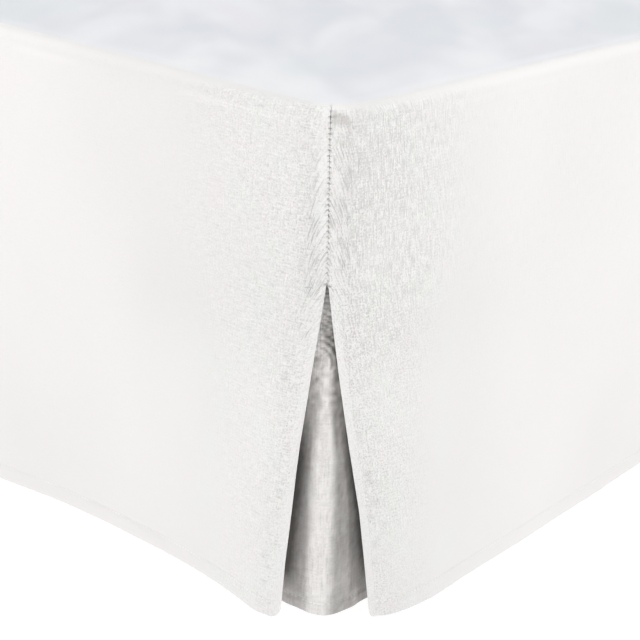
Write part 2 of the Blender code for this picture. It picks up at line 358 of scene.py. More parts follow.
# the underlays' cloth is greyer than the panels' as painted shade, with a near black for their shade field
underCloth = linenMaterial("white linen weave of the underlays", dict(
    linen, light=(0.90, 0.882, 0.865), dark=(0.68, 0.66, 0.64), paintedShadeColour=(0.14, 0.13, 0.12),
    warp=(560, 50, 1), weft=(60, 600, 1), grain=(560, 600, 1),
    warpShare=0.62, weftShare=0.45, grainShare=0.9, even=0.8, sparse=6, darker=0.0, contrast=2.2,
    lowWarp=1.7, lowGrain=0.7, slantShare=0.0, crisp=900 * mm, flat=990 * mm, lowSpread=0.0,
    lowShare=0.62, hemShare=0.85, closeShare=0.45, cornerShade=0.0, hemTone=0.0, hemBand=9 * mm))


deckLook = {
    "low": (0.735, 0.755, 0.796), "high": (0.832, 0.843, 0.869), "violet": (0.80, 0.79, 0.83),
    "teal": (0.75, 0.79, 0.805), "deckHighlight": (0.885, 0.885, 0.90),
    "drift": -43, "clouds": (14, 5.0, 1), "tints": (12, 4.5, 1),  # soft clouds, longer along one diagonal
    "threads": (900, 260, 1), "bump": 0.25 * mm,
}


def deckMaterial(name, look):
    made, tree, shader = startMaterial(name, 0.95, 0.15, 0.05)
    cloth = addNode(tree, "ShaderNodeUVMap", uv_map="cloth")
    along = addNode(tree, "ShaderNodeVectorRotate", {"Vector": cloth, "Angle": math.radians(look["drift"])},
                    rotation_type="Z_AXIS")
    clouds = noise(along, look["clouds"], 2.0, 0.5, 0.3)
    tints = noise(along, look["tints"], 1.0, 0.5, 0.2)
    base = mixColour(ranged(clouds, 0.35, 0.68), look["low"], look["high"])
    base = mixColour(ranged(tints, 0.55, 0.72, 0, 0.6), base, look["violet"])
    base = mixColour(ranged(tints, 0.45, 0.30, 0, 0.5), base, look["teal"])
    base = mixColour(fieldOf(tree, "deckHighlight"), base, look["deckHighlight"])
    endMaterial(shader, base, noise(cloth, look["threads"], 2.0, 0.5), look["bump"], 0.5)
    return made


paleDeckCloth = deckMaterial("pale blue deck cloth", deckLook)

timber = {
    "pale": (0.58, 0.41, 0.25), "warm": (0.72, 0.55, 0.37), "dark": (0.42, 0.28, 0.16),
    "rings": (16.0, 0.9), "fibres": (420.0, 7.0),  # per metre, across the grain and along it
    "fibreShare": 0.35, "bump": 0.3 * mm,
}


def woodMaterial(name, along):
    # along: 0, 1 or 2 for the axis that the grain follows
    made, tree, shader = startMaterial(name, 0.55, 0.4)
    place = addNode(tree, "ShaderNodeTexCoord", output="Object")
    ringScale, fibreScale = ([timber[kind][axis == along] for axis in range(3)] for kind in ("rings", "fibres"))
    rings = noise(place, ringScale, 4.0, 0.55, 1.6)
    fibres = noise(place, fibreScale, 3.0, 0.6)
    base = mixColour(rings, timber["pale"], timber["warm"])
    base = mixColour(fibres * timber["fibreShare"], base, timber["dark"])
    feed(shader.inputs["Roughness"], ranged(fibres, 0.3, 0.7, 0.45, 0.65))
    endMaterial(shader, base, fibres, timber["bump"], 0.5)
    return made


cover = {
    "dark": (0.60, 0.58, 0.54), "light": (0.75, 0.73, 0.69), "patch": (0.52, 0.50, 0.47),
    "twill": (700, 700, 260), "patches": (14, 14, 14), "patchShare": 0.3, "bump": 0.4 * mm,
}


def coverMaterial(name):
    made, tree, shader = startMaterial(name, 0.85, 0.25, 0.1)
    place = addNode(tree, "ShaderNodeTexCoord", output="Object")
    twill = noise(place, cover["twill"], 2.0, 0.6)
    patches = noise(place, cover["patches"], 3.0, 0.5)
    base = mixColour(twill, cover["dark"], cover["light"])
    base = mixColour(patches * cover["patchShare"], base, cover["patch"])
    endMaterial(shader, base, twill, cover["bump"], 0.6)
    return made


coverCloth = coverMaterial("box spring ticking")
print("materials made")


# The panels that hang from the deck's edge

panel = {
    "thickness": 1.6 * mm,
    "offset": 4.7 * mm,  # of the cloth from the box spring's side
    "seamInset": 6 * mm,  # of the seam with the deck, inside the box spring's side
    "seamLip": 2 * mm,
    "seamRise": 2 * mm, "deckLift": 0.9 * mm,  # of the deck, at the seam and everywhere
    "hem": 6 * mm,  # above the floor
    "sewn": 0.307,  # share of the drop that is sewn shut
    "seamTurn": math.radians(5.2),
    "gap": 0.3 * mm,
    "slitSpread": 120 * mm, "pullSpread": 450 * mm, "swing": 1.15,
    "sideEnd": bed["length"] - 40 * mm,
    "hemBand": 12 * mm,  # depth of the sewn hem
    "sideBand": 8 * mm,  # width of the side hem on the side panels' flaps
    # relief of the hem and the seam, in mm
    "bandRise": 0.4, "stitchSink": 0.14, "puckers": 0.60, "seamSink": 0.3,
    # the dent beside the seam's top, in mm, in painted shade: a grey patch, ended by a crease at start + lean fall,
    # and short bars
    "dentSink": 1.2, "dentShade": 0.34, "dentTop": -7.0, "dentEnd": 4.0,
    "creaseStart": 11.5, "creaseLean": 0.4, "creaseShade": 0.36,
    "bars": ((-6.6, 0.9), (-3.1, 0.8)), "barShade": 0.35,
    # painted shade of knots along the side hem: (from its edge, below the roll), in mm
    "knots": ((9, 208), (10, 222), (12, 252), (13, 260), (15, 274), (10, 309), (8, 322)), "knotShade": 0.2,
    # short slanting creases under the dent, painted as shade only: (from the seam, below the roll), in mm
    "nicks": ((6.2, 7.5), (9.0, 9.5), (12.2, 7.0), (12.6, 13), (4.6, 12), (9.4, 15.5), (15, 4)), "nickShade": 0.22,
    "tackShade": 0.8,  # of the bar tack at the top of the slit
    # how much the seam's puckers show: (below the roll in mm), (share)
    "footPull": ((0, 12, 40, 75, 105, 125, 175), (0.2, 0.35, 0.5, 0.9, 1.0, 0.7, 0.0)),
    "sidePull": ((0, 12, 30, 60, 90, 115, 150), (0.2, 0.5, 0.9, 0.9, 0.8, 0.5, 0.0)),
    # painted highlight on the roll: (below it in mm), (share); this ends a little higher beside the seam
    "footRim": ((-15, -10, -5), (0.45, 0.35, 0.0)),
    "sideRim": ((-15, -11, -6, 0), (0.75, 0.6, 0.2, 0.0)),
    "cornerRim": 2.5 * mm, "cornerRimReach": 130 * mm,
}
rollRadius = panel["offset"] + panel["seamInset"] - panel["seamLip"]
rollHeight = bed["top"] + panel["seamRise"] + panel["deckLift"] - rollRadius
dropHeight = rollHeight - panel["hem"]
sewnHeight = panel["sewn"] * dropHeight

# edges of the slit at a share of the drop, in mm: along the panel from the sharp corner, and out from its side
slitShare = (0, 0.15, 0.307, 0.311, 0.318, 0.37, 0.50, 0.64, 0.77, 0.90, 1.0)
footSlit = {"along": (9.6, 7.35, 5.1, 5.7, 5.9, 7.4, 12.8, 17.5, 20.0, 21.6, 21.8),
            "out": (-4.5, -2.75, -1.0, -0.7, -0.6, 1.1, 4.5, 8.4, 12.5, 17.0, 20.0)}
sideSlit = {"along": (4.5, 2.75, 1.0, 1.9, 2.2, 4.5, 9.7, 16.1, 22.4, 25.6, 28.0),
            "out": (-9.6, -7.35, -5.1, -4.9, -4.8, -3.7, 0.6, 5.5, 10.7, 16.0, 20.0)}
# hem lines, in mm: (along the panel, out from the box spring's side)
footHemRight = ((21.8, 20), (43, 24), (61, 21.5), (98, 17), (134, 15), (180, 14), (241, 16), (276, 19),
                (310, 24), (343, 29), (400, 31), (520, 24), (700, 13), (762, 12))
footHemLeft = ((21.8, 20), (44, 25), (84, 21), (174, 18), (374, 14), (580, 12), (700, 12), (762, 12))
sideHemRight = ((28, 20), (42, 28), (50, 30), (81, 33), (119, 30), (180, 26), (245, 21), (313, 17),
                (366, 11.5), (391, 9.5), (470, 8), (700, 12), (1000, 9), (1400, 13), (1700, 9), (1992, 8))
sideHemLeft = ((28, 20), (45, 27), (78, 33), (130, 29), (220, 21), (330, 14), (450, 10), (750, 8),
               (1050, 12), (1450, 9), (1992, 9))


def aroundCorner(run, turn, offset):
    # plan place at a distance along the top from the seam: round the corner's arc, then straight
    arcRun = (bed["corner"] + panel["offset"]) * turn
    angle = turn * np.clip(1 - run / arcRun, 0, 1)
    along = bed["corner"] - (bed["corner"] + offset) * np.sin(angle) + np.maximum(run - arcRun, 0)
    out = -bed["corner"] + (bed["corner"] + offset) * np.cos(angle)
    return along, out


def dropShares():
    # rows of the drop, close together at the roll, round the top of the slit and in the hem
    ends = (24 * mm, sewnHeight - 3 * mm, sewnHeight + 2.4 * mm, sewnHeight + 9 * mm, dropHeight - 16 * mm, dropHeight)
    parts = [steps(ends[0], 1.1 * mm, 1.1, 2.5 * mm)]
    for start, end, count in zip(ends, ends[1:], (25, 10, 6, 62, 13)):
        parts.append(np.linspace(start, end, count)[1:])
    return np.concatenate(parts) / dropHeight


def onGrid(across, down):
    # pairs of numbers, one along the columns and one down the rows
    return np.broadcast_arrays(across[None, :], down[:, None])


def panelFrom(slit, hem, turn, end, cornerRound):
    # The drop is straight between the top edge and the hem line, out to the power "swing" of the share of
    # the drop, eased to the slit's edge beside it. Above it the cloth rolls over a quarter circle to a lip.
    reach = (bed["corner"] + panel["offset"]) * turn + end - bed["corner"] - panel["gap"]
    wide = 60 * mm + steps(reach - 60 * mm, 2.4 * mm, 1.09, 11 * mm)
    runs = panel["gap"] + np.concatenate([steps(60 * mm, 0.8 * mm, 1.25, 2.2 * mm), wide[1:]])
    share = dropShares()[:, None]
    hemAlong, hemOut = np.array(hem).T * mm

    topAlong, topOut = aroundCorner(runs, turn, panel["offset"])
    pull = slit["along"][-1] * mm - topAlong[0]
    lowAlong = topAlong + pull * (1 - ease(runs / panel["pullSpread"]))
    lowOut = smoothCurve(hemAlong, hemOut, lowAlong)
    along = topAlong + (lowAlong - topAlong) * share
    out = topOut + (lowOut - topOut) * share**panel["swing"]
    near = 1 - ease(runs / panel["slitSpread"])
    edgeAlong = np.interp(share, slitShare, slit["along"]) * mm + panel["gap"]
    edgeOut = np.interp(share, slitShare, slit["out"]) * mm
    along += (edgeAlong - along[:, :1]) * near
    out += (edgeOut - out[:, :1]) * near

    fromRound = np.clip(1 - runs / cornerRound, 0, 1)
    hemUp = panel["hem"] + cornerRound * (1 - np.sqrt(1 - fromRound**2))
    up = rollHeight + (hemUp - rollHeight) * share
    drop = np.stack([along, out, up], axis=-1)

    angles = np.linspace(math.pi / 2, 0, 8, endpoint=False)
    lip = panel["seamLip"] - panel["seamInset"]
    rollOut = np.append(-panel["seamInset"], lip + rollRadius * np.cos(angles))[:, None]
    rollUp = np.append(rollHeight + rollRadius, rollHeight + rollRadius * np.sin(angles))[:, None]
    roll = np.stack(np.broadcast_arrays(*aroundCorner(runs, turn, rollOut), rollUp), axis=-1)
    # distance down the cloth from the roll, negative on the roll itself
    lengths = rollRadius * angles
    down = np.concatenate([[-lengths[0] - panel["seamLip"]], -lengths, share[:, 0] * dropHeight])
    return np.concatenate([roll, drop]), runs, down


def bandShape(away, band):
    # the doubled cloth of a hem: e^(-((distance - 0.45 band) / 0.5 band)^4)
    return np.exp(-((away - band * 0.45) / (band * 0.5)) ** 4)


def panelRelief(runs, down, sideHem, seed):
    # how far the cloth stands out from its smooth shape, in metres
    run, fall = onGrid(runs / mm, down / mm)
    aboveHem = dropHeight / mm - fall
    sewnEnd = sewnHeight / mm
    band = panel["hemBand"] / mm
    sewn = 1 - ease((fall - sewnEnd) / 6)
    onDrop = ease(fall / 6)

    relief = panel["bandRise"] * bandShape(aboveHem, band)
    drawnIn = 0.25 + 0.75 * ease(0.5 + 0.9 * uneven(run / 26, aboveHem / 60, seed + 6))  # stitches tighter in places
    relief -= panel["stitchSink"] * hump(aboveHem, band, 1.8) * drawnIn
    puckers = uneven(run / 6.5 + aboveHem / 9, aboveHem / 16, seed) * hump(aboveHem, band * 0.8, 9)
    relief = (relief + panel["puckers"] * puckers * drawnIn) * (0.25 + 0.75 * ease(run / 14))
    relief -= panel["seamSink"] * np.exp(-run / 0.9) * sewn
    relief += 0.22 * (uneven(run / 9, fall / 3.2 + run / 4, seed + 1) * np.exp(-run / 12) * sewn * onDrop)
    slow = 0.35 * uneven(run / 34, fall / 48, seed + 2) + 0.8 * uneven(run / 95, fall / 130, seed + 3)
    relief += onDrop * slow
    relief += 0.12 * uneven(run / 9, fall / 12, seed + 4) * onDrop
    if sideHem:
        relief -= panel["dentSink"] * hump(run, 7, 6) * hump(fall, -3, 5)
        side = panel["sideBand"] / mm
        opened = ease((fall - sewnEnd - 8) / 25)
        relief += opened * (0.4 * bandShape(run, side) - 0.6 * hump(run, side, 1.5))
        relief += opened * 0.4 * uneven(run / 9, fall / 5.5, seed + 5) * hump(run, side, 5)
    return relief * mm


def placed(local, side, alongWay, outWay):
    # from (along, out, up) at a foot corner of the box spring to the bed's own axes
    corner = (side * bed["width"] / 2, bed["middleY"] - bed["length"] / 2)
    flat = corner + local[..., 0:1] * alongWay + local[..., 1:2] * outWay
    return np.concatenate([flat, local[..., 2:3]], axis=-1)


def raised(points, relief, outward):
    # moved along the surface's normals, which are turned to the outward side
    normal = outwards(points)
    facing = np.sign(np.sum(normal * outward, axis=-1, keepdims=True).mean())
    return points + normal * facing * relief[..., None]


def panelFields(runs, down, pull, rim, shade=0.0):
    # what the weave reads: where the cloth is from its seam and hem, sewn, free, puckered, its painted shade and the
    # roll's painted highlight
    free = ease((down - sewnHeight - 8 * mm) / (20 * mm))[:, None]
    sewn = (1 - ease((down - sewnHeight) / (2 * mm)))[:, None] * ease((down + 9 * mm) / (5 * mm))[:, None]
    raisedEnd = panel["cornerRim"] * (1 - ease(runs / panel["cornerRimReach"]))
    return {"fromSeam": runs[None, :], "fromHem": down[-1] - down[:, None], "sewn": sewn, "flap": free,
            "pull": np.interp(down / mm, *pull)[:, None], "shade": shade,
            "rim": np.interp((down[:, None] + raisedEnd) / mm, *rim)}


def topOfSlit(run, fall):
    # painted shade of the bar tack's pinch that ends the sewn seam
    return panel["tackShade"] * ease((3.4 - run) / 1.4) * hump(fall, sewnHeight / mm - 0.4, 0.8)


def hangFootPanel():
    turn = math.pi / 4 - panel["seamTurn"]
    halves = []
    for hem, side, alongWay, seed in ((footHemRight, 1, (-1, 0), 11), (footHemLeft, -1, (1, 0), 12)):
        local, runs, down = panelFrom(footSlit, hem, turn, bed["width"] / 2, 11 * mm)
        points = placed(local, side, alongWay, (0, -1))
        fade = 1 - ease((runs - 560 * mm) / (150 * mm))  # the halves meet smoothly in the middle
        relief = panelRelief(runs, down, False, seed)
        bandOnly = panelRelief(runs * 0 + 900 * mm, down, False, 11)
        relief = relief * fade + bandOnly[:, -1:] * (1 - fade)
        halves.append(raised(points, relief, (0, -1, 0.2)))
    points = np.concatenate([halves[0], halves[1][:, -2::-1]], axis=1)
    fromSeam = np.concatenate([runs, runs[-2::-1]])
    tack = topOfSlit(*onGrid(fromSeam / mm, down / mm))
    across = np.concatenate([runs, 2 * runs[-1] - runs[-2::-1]])
    cloth = np.stack(onGrid(across, down), axis=-1)
    fields = panelFields(fromSeam, down, panel["footPull"], panel["footRim"], tack)
    fields["flap"] = 0.0  # the foot panel's flaps are folded, not stitched
    return addCloth("foot_panel_cloth", points, cloth, fields, panel["thickness"], crossCloth), points, down


def hangSidePanel(name, hem, side, seed):
    turn = math.pi / 4 + panel["seamTurn"]
    local, runs, down = panelFrom(sideSlit, hem, turn, panel["sideEnd"], 4 * mm)
    points = placed(local, side, (0, 1), (side, 0))
    points = raised(points, panelRelief(runs, down, True, seed), (side, 0, 0.2))
    cloth = np.stack(onGrid(runs + 3.1, down + 0.37 * seed), axis=-1)
    run, fall = onGrid(runs / mm, down / mm)
    # painted shade: the dent's grey patch, its crease and its bars, then the knots and nicks
    crease = panel["creaseStart"] + panel["creaseLean"] * fall
    dent = (panel["dentShade"] * ease((run - 0.4) / 1.6) * ease((crease - run) / 2)
            * ease((fall - panel["dentTop"]) / 1.6) * ease((panel["dentEnd"] - fall) / 4))
    dent += panel["creaseShade"] * hump(run, crease, 1.3) * ease((fall + 6) / 2) * ease((4.5 - fall) / 3)
    bars = sum(hump(fall, low, halfHeight) for low, halfHeight in panel["bars"])
    dent += panel["barShade"] * ease((5.2 - run) / 1.6) * bars
    knots = sum(panel["knotShade"] * hump(run, at, 2.2) * hump(fall, low, 2.4) for at, low in panel["knots"])
    knots += sum(panel["nickShade"] * hump(run - 0.5 * (fall - low), at, 0.8) * hump(fall, low, 1.8)
                 for at, low in panel["nicks"])
    fields = panelFields(runs, down, panel["sidePull"], panel["sideRim"], dent + knots + topOfSlit(run, fall))
    return addCloth(name, points, cloth, fields, panel["thickness"], whiteCloth, flip=side > 0), points


footPanel, footPoints, panelDown = hangFootPanel()
sidePanelRight, rightPoints = hangSidePanel("side_panel_cloth_right", sideHemRight, 1, 21)
sidePanelLeft, leftPoints = hangSidePanel("side_panel_cloth_left", sideHemLeft, -1, 22)
print("panels hung")


# The stitches that close the corner seams

stitches = {
    "pitch": 3.7 * mm, "first": -8.3 * mm, "last": 2.2 * mm,  # below the roll, and above the slit's top
    "radius": 0.28 * mm, "halfHeight": (0.26 * mm, 0.55 * mm),  # of a bar, at the roll and at the slit
    "top": -12.2 * mm, "topHalfHeight": 1.9 * mm,  # the long bar that starts the seam
    "sunk": 0.35 * mm, "proud": 0.5 * mm, "jitter": 0.15 * mm,
    "light": (0.955, 0.94, 0.928), "dark": (0.72, 0.70, 0.685), "strands": (1500, 1500, 2600), "bump": 0.15 * mm,
}


def threadMaterial(name):
    made, tree, shader = startMaterial(name, 0.8, 0.3, 0.1)
    strands = noise(addNode(tree, "ShaderNodeTexCoord", output="Object"), stitches["strands"], 2.0, 0.5)
    colour = mixColour(strands, stitches["light"], stitches["dark"])
    endMaterial(shader, colour, strands, stitches["bump"], 0.6)
    return made


def sewSeam(name, foot, side, outward, thread):
    # bars of thread: an ellipse carried along a path that rises out of one cloth's edge and goes into the other's
    places = np.arange(stitches["first"], sewnHeight - stitches["last"], stitches["pitch"])
    halves = np.interp(places, (0, sewnHeight), stitches["halfHeight"])
    places = np.append(stitches["top"], places + stitches["jitter"] * scattered(np.arange(len(places)), 0, 61))
    halves = np.append(stitches["topHalfHeight"], halves)

    def edgeAt(grid, column, below=0.0):
        return np.stack([np.interp(places + below, panelDown, grid[:, column, axis]) for axis in range(3)], axis=-1)

    knots = np.stack([edgeAt(foot, 1), edgeAt(foot, 0), edgeAt(side, 0), edgeAt(side, 1)], axis=1)
    across = unit(knots[:, 3] - knots[:, 0])
    out = unit(np.cross(across, edgeAt(side, 0, 0.6 * mm) - edgeAt(side, 0, -0.6 * mm)))
    out *= np.sign(np.sum(out * outward, axis=-1, keepdims=True))
    lengthways = np.cross(out, across)

    way = np.linspace(0, 3, 9)
    left = np.minimum(way.astype(int), 2)
    path = knots[:, left] + (knots[:, left + 1] - knots[:, left]) * (way - left)[None, :, None]
    rise = panel["thickness"] / 2 - stitches["sunk"] + stitches["proud"] * np.sin(way * math.pi / 3)
    path += out[:, None] * rise[None, :, None]
    turn = np.linspace(0, math.tau, 10, endpoint=False)
    narrow = (1 - 0.35 * (way / 1.5 - 1) ** 4)[None, :, None, None]
    section = (out[:, None, None] * (stitches["radius"] * np.cos(turn))[None, None, :, None]
               + lengthways[:, None, None] * (halves[:, None] * np.sin(turn)[None, :])[:, None, :, None])
    points = path[:, :, None] + section * narrow

    bars, rings, sides = points.shape[:3]
    index = np.arange(bars * rings * sides).reshape(bars, rings, sides)
    following = np.roll(index, -1, axis=2)
    quads = np.stack([index[:, :-1], index[:, 1:], following[:, 1:], following[:, :-1]], axis=-1).reshape(-1, 4)
    caps = index[:, 0].tolist() + index[:, -1].tolist()
    piece = addMesh(name, points, quads.tolist() + caps, thread)
    shape = bmesh.new()
    shape.from_mesh(piece.data)
    bmesh.ops.recalc_face_normals(shape, faces=shape.faces)
    shape.to_mesh(piece.data)
    shape.free()
    return piece


whiteThread = threadMaterial("white cotton thread")
stitchesRight = sewSeam("seam_stitches_right", footPoints, rightPoints, (1, -1, 0.6), whiteThread)
stitchesLeft = sewSeam("seam_stitches_left", footPoints[:, ::-1], leftPoints, (-1, -1, 0.6), whiteThread)
print("seams sewn")


# The underlays that close the split corners from behind

pleat = {
    "thickness": 1.2 * mm, "offset": 2.7 * mm,
    "top": bed["top"] - 10 * mm, "hem": 8.5 * mm, "reach": 150 * mm,
    "corner": 37.7 * mm, "hemCorner": 16 * mm,  # rounding at the top and at the hem
    # soft folds: (distance from the middle of the corner, half width, depth), in mm
    "folds": ((-86, 15, 1.4), (-34, 11, 1.6), (24, 8, 1.8), (47, 9, 1.2), (88, 14, 1.5)),
    "hemBand": 9 * mm,
    # gathers below the slit's top, and wrinkles arched round a pinched spot, in mm
    "gatherPitch": 3.9, "gatherBand": (104, 146), "gatherDepth": 0.30, "gatherShade": 0.26,
    "spot": (-10, 164), "archPitch": 4.4, "archRadius": 15, "archDepth": 0.5, "archShade": 0.32,
    # the edges of the flaps before it: (below the top, left and right edge from the middle), in mm
    "flaps": ((158, -11, 5), (180, -13, 8), (205, -17, 12), (230, -20, 17), (255, -25, 23), (280, -28, 30),
              (305, -31, 35), (332, -33, 39), (360, -36, 44)),
    # depth of the painted shadow beside each flap's edge
    "leftFlapShadow": 0.48, "rightFlapShadow": 0.30,
    # the fold's shaded sides: (below the top, start, width in mm, depth of the shade)
    "leftSide": ((130, -9, 8, 0.1), (158, -7, 8, 0.15), (177, -0.8, 9, 0.30), (192, 0.3, 10, 0.36),
                 (215, -3.7, 7, 0.45), (238, -3.5, 10, 0.57), (261, -4.5, 10, 0.59), (285, -5, 11, 0.50),
                 (309, -6.5, 12, 0.50), (334, -8.5, 14, 0.50), (349, -9, 12, 0.38)),
    "rightSide": ((130, -6, 8, 0.1), (141, -8, 9, 0.62), (152, -5, 8, 0.86), (163, -1.5, 5.5, 0.78),
                  (177, -1.2, 5, 0.66), (192, -1.2, 5.5, 0.74), (215, 2, 4.5, 0.70), (238, 3.2, 6, 0.67),
                  (261, 1.4, 7.5, 0.71), (285, 1, 9, 0.65), (309, 1, 9, 0.67), (334, 0, 11, 0.55),
                  (349, -1.5, 12, 0.61)),
    # painted shade below the top of the slit: (below the top in mm), (shade)
    "tip": ((100, 110, 119, 130, 141, 150), (0.85, 0.60, 0.22, 0.08, 0.0, 0.0)),
    # small patches of painted shade: (below the top, half height, from the middle, half width in mm, shade)
    "shadePatches": ((206, 20, -3, 8, 0.11), (163, 5, -9.5, 3.2, 0.45)),
}


def hangUnderlay(name, side, seed):
    # round the corner on an arc whose radius shrinks down the drop, with soft folds that deepen to the hem
    wing = steps(pleat["reach"], 1.0 * mm, 1.025, 6 * mm)
    runs = np.concatenate([-wing[:0:-1], wing])
    fallTotal = pleat["top"] - pleat["hem"]
    ends = (0, 70 * mm, 170 * mm, fallTotal - 14 * mm)
    fall = [np.linspace(start, end, count, endpoint=False) for start, end, count in zip(ends, ends[1:], (24, 74, 52))]
    fall = np.concatenate([*fall, np.linspace(ends[-1], fallTotal, 12)])[:, None]
    share = fall / fallTotal
    radius = pleat["corner"] + (pleat["hemCorner"] - pleat["corner"]) * ease((share - 0.15) / 0.85)
    arc = radius * math.pi / 4
    angle = math.pi / 4 * (1 - np.clip(runs / arc, -1, 1))
    folds = sum(depth * hump(runs / mm, middle, halfWidth) for middle, halfWidth, depth in pleat["folds"])
    reach = radius + folds * mm * share
    centre = pleat["offset"] - radius
    outSide = centre + reach * np.cos(angle) - np.maximum(-runs - arc, 0)
    outFoot = centre + reach * np.sin(angle) - np.maximum(runs - arc, 0)
    up = np.broadcast_to(pleat["top"] - fall, outSide.shape)
    points = placed(np.stack([-outFoot, outSide, up], axis=-1), side, (0, 1), (side, 0))

    run, down = np.broadcast_arrays(runs[None, :] / mm, fall / mm)
    aboveHem = fallTotal / mm - down
    band = pleat["hemBand"] / mm
    relief = 0.3 * bandShape(aboveHem, band) - 0.45 * hump(aboveHem, band, 1.4)
    relief += 0.25 * uneven(run / 6, aboveHem / 12, seed) * hump(aboveHem, band, 7)
    slant = down / pleat["gatherPitch"] + 0.7 * uneven(run / 8, down / 12, seed + 1) - run / 8
    start, end = pleat["gatherBand"]
    gathers = np.sin(math.tau * slant) * ease((down - start) / 8) * ease((end - down) / 8) * hump(run, 0, 24)
    relief += pleat["gatherDepth"] * gathers
    spotRun, spotDown = pleat["spot"]
    arch = np.hypot(run - spotRun, down - spotDown) + 1.0 * uneven(run / 8, down / 12, seed + 5)
    arches = np.sin(math.tau * arch / pleat["archPitch"]) * hump(arch, pleat["archRadius"], 8)
    arches *= ease((spotDown + 9 - down) / 9)
    relief += pleat["archDepth"] * arches
    relief += 0.35 * uneven(run / 7 + down / 40, down / 70, seed + 2) * ease((down - 60) / 80)
    points = raised(points, relief * mm, (side, -1, 0))
    cloth = np.stack(np.broadcast_arrays(runs[None, :] + 5.3, fall + 0.21 * seed), axis=-1)

    # painted shade where the cloth goes back behind the flaps
    wander = 0.9 * uneven(run / 5, down / 45, seed + 3)

    def sideShade(kind, way):
        low, start, width, depth = np.array(pleat[kind]).T
        start, width, depth = (np.interp(down, low, values) for values in (start, width, depth))
        return depth * ease(((run - start) * way + wander) / width)

    shade = sideShade("leftSide", -1) + sideShade("rightSide", 1)
    # painted shadow of the flaps' edges, deeper lower down
    low, left, right = np.array(pleat["flaps"]).T
    flapShadow = (pleat["leftFlapShadow"] * ease((np.interp(down, low, left) + 13 - run) / 13)
              + pleat["rightFlapShadow"] * ease((run - np.interp(down, low, right) + 9) / 9))
    flapShadow *= ease((down - 195) / 50)
    shade += flapShadow * (0.84 + 0.4 * ease((down - 215) / 110)) * (1 - ease((down - 322) / 30))
    # painted highlight on two ridges near the hem
    shade -= 0.12 * hump(run, 26, 4) * ease((down - 312) / 20)
    shade -= 0.22 * hump(run, 28, 4) * ease((down - 338) / 10)
    shade += np.interp(down, *pleat["tip"])
    # painted shade and highlight along the gathers and the arched wrinkles
    shade = shade - pleat["archShade"] * arches - pleat["gatherShade"] * gathers
    # a little painted shade everywhere but the lowest rows, and random mottling, stronger near the slit's top
    mottled = uneven(run / 2.3 + down / 6, down / 2.8, seed + 6)
    shade = shade + 0.04 * ease((320 - down) / 30) + mottled * (0.08 + 0.23 * ease((225 - down) / 60))
    for at, halfHeight, middle, halfWidth, strength in pleat["shadePatches"]:
        shade += strength * hump(down, at, halfHeight) * hump(run, middle, halfWidth)
    # painted shade of a short crease
    shade += 0.25 * hump(down, 179 + run * 0.2, 1.3) * hump(run, -5, 6)
    fields = {"fromSeam": 0.5, "fromHem": fallTotal - fall, "sewn": 0.0, "flap": 0.0, "pull": 1.0, "rim": 0.0,
              "shade": np.clip(shade, 0, 0.96)}
    return addCloth(name, points, cloth, fields, pleat["thickness"], underCloth, flip=side > 0)


underlayRight = hangUnderlay("pleat_underlay_cloth_right", 1, 31)
underlayLeft = hangUnderlay("pleat_underlay_cloth_left", -1, 32)
print("underlays hung")


# The deck that lies on the box spring

deckCloth = {
    "thickness": 1.2 * mm, "riseWidth": 28 * mm, "waves": 0.6 * mm,
    "puffs": 2.2 * mm, "puffReach": 70 * mm, "rimBand": 18 * mm,
    "rimHighlight": 0.4, "puffHighlight": 0.22,
    # pale spots, painted as highlights of puffs, longer along the corner's diagonal: (from the side, from the foot),
    # in mm
    "spots": ((61, 28), (28, 62), (106, 22), (158, 18), (34, 190)), "spotAcross": 17 * mm, "spotAlong": 34 * mm,
}


